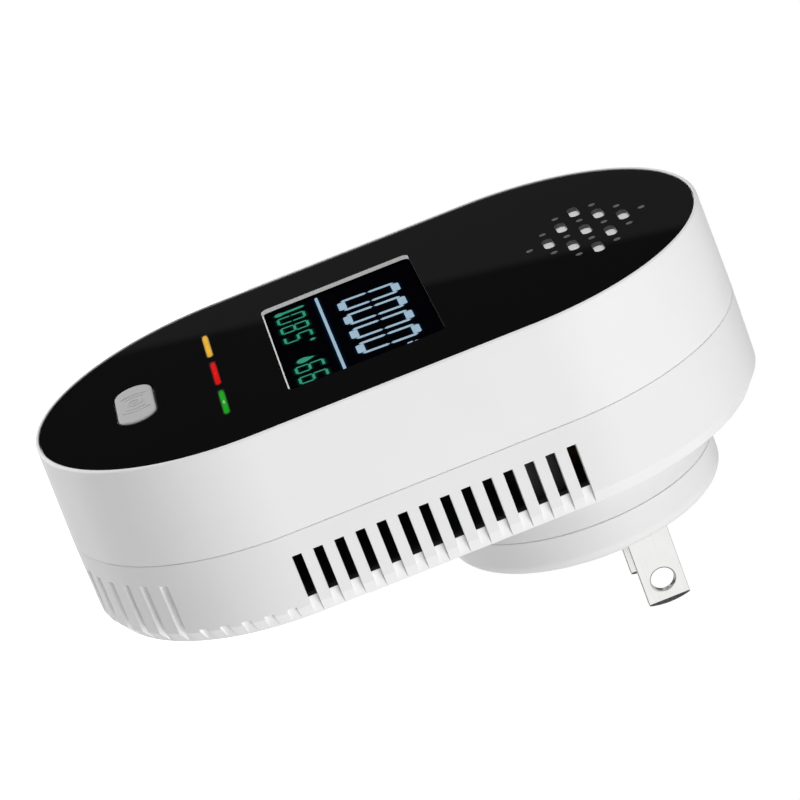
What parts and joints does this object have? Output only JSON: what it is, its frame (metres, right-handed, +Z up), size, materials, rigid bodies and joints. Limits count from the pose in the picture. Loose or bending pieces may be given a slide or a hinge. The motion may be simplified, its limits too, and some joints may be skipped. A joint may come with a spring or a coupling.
{
  "type": "carbon monoxide detector",
  "caption": "Plug-in carbon monoxide detector: a rounded white housing with a gloss black face, display, signal bars, test button and a round plug that turns.",
  "frame": {"origin": "centre of the round plug's rear face, which rests against the outlet", "axes": "+X to the right of somebody reading the display, +Y from the front face towards the outlet, +Z up the long axis of the housing"},
  "size_m": [0.0608, 0.057, 0.1014],
  "materials": {
    "white_plastic": "satin",
    "warm_white_plastic": "satin",
    "gloss_black": "polished",
    "acoustic_mesh": "woven",
    "display_glass": "polished",
    "dark_plastic": "satin",
    "amber_light": "translucent",
    "red_light": "translucent",
    "green_light": "translucent",
    "button_grey": "satin",
    "steel": "zinc plated",
    "board_green": "solder mask",
    "foam_rubber": "matt",
    "ferrite": "matt",
    "capacitor_sleeve": "satin",
    "capacitor_blue": "gloss",
    "bright_metal": "tinned",
    "nickel_plate": "nickel plated",
    "brass": "bare"
  },
  "bodies": {
    "plug": {"plug_disc": "warm_white_plastic", "blade_left": "nickel_plate", "blade_right": "nickel_plate", "contact_ring_inner": "brass", "contact_ring_outer": "brass", "plug_retainer": "dark_plastic"},
    "housing": {"front_shell": "white_plastic", "rear_shell": "warm_white_plastic", "face_panel": "gloss_black", "sounder_mesh": "acoustic_mesh", "lcd_bezel": "white_plastic", "lcd_glass": "display_glass", "lcd_backlight": "white_plastic", "lcd_pin_header": "dark_plastic", "light_pipe_amber": "amber_light", "light_pipe_red": "red_light", "light_pipe_green": "green_light", "led_amber": "amber_light", "led_red": "red_light", "led_green": "green_light", "switch_body": "dark_plastic", "main_board": "board_green", "microcontroller": "dark_plastic", "co_sensor": "white_plastic", "humidity_sensor": "dark_plastic", "alarm_sounder": "dark_plastic", "sounder_gasket": "foam_rubber", "transformer": "ferrite", "filter_capacitor": "capacitor_sleeve", "film_capacitor": "capacitor_blue", "fuse": "bright_metal", "varistor": "capacitor_blue", "bridge_rectifier": "dark_plastic", "contact_spring_inner": "brass", "contact_spring_outer": "brass", "case_screw_1": "steel", "board_screw_1": "steel", "case_screw_2": "steel", "board_screw_2": "steel", "case_screw_3": "steel", "board_screw_3": "steel", "case_screw_4": "steel", "board_screw_4": "steel"},
    "button": {"test_button": "button_grey"},
    "plunger": {"switch_plunger": "steel"}
  },
  "joints": [
    {"name": "plug_turn", "type": "hinge", "parent": "plug", "child": "housing", "pos_m": [0, 0, 0], "axis": [0, 1, 0], "range_deg": [0, 90]},
    {"name": "test_button_press", "type": "slide", "parent": "housing", "child": "button", "axis": [0, 1, 0], "range_m": [0, 0.0006]},
    {"name": "switch_plunger_travel", "type": "slide", "parent": "housing", "child": "plunger", "axis": [0, 1, 0], "range_m": [0, 0.0006]}
  ],
  "couplings": [
    {"joint": "switch_plunger_travel", "follows": "test_button_press", "ratio": 1}
  ]
}
